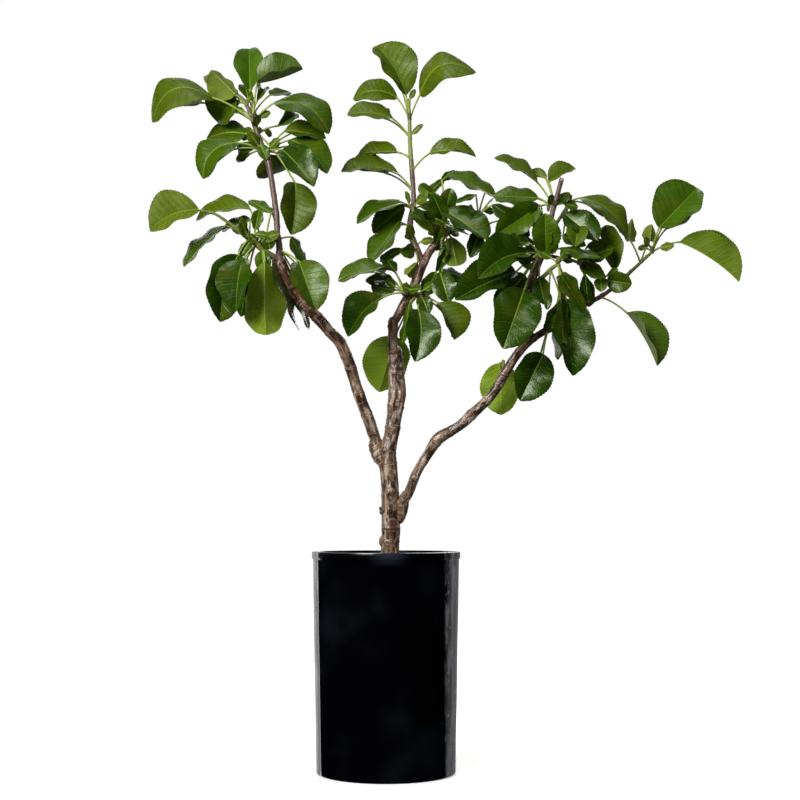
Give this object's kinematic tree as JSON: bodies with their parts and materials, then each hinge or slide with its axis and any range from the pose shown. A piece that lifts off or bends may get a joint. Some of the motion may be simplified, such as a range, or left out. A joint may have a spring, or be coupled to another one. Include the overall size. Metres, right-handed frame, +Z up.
{
  "type": "potted pear tree",
  "caption": "Young open-branched pear tree with broad glossy leaves, standing in a tall plain black nursery pot filled with soil.",
  "frame": {"origin": "centre of the pot's flat underside, on the ground", "axes": "+Z up along the pot's axis and the tree's height, +X to the viewer's right, +Y away from the viewer"},
  "size_m": [0.6006, 0.1971, 0.7501],
  "materials": {
    "pot": "gloss",
    "soil": "rough",
    "bark": "satin",
    "leaves": "satin"
  },
  "bodies": {
    "root": {"pot": "pot", "soil": "soil", "trunk": "bark", "left_bough": "bark", "right_bough": "bark", "middle_bough": "bark", "right_upper_bough": "bark", "left_leader_foliage": "leaves", "left_side_foliage": "leaves", "middle_leader_foliage": "leaves", "middle_spur_foliage": "leaves", "centre_foliage": "leaves", "right_upper_foliage": "leaves", "right_lower_foliage": "leaves", "right_twig_foliage": "leaves", "right_bough_leaf": "leaves", "right_tip_foliage": "leaves"}
  },
  "joints": []
}
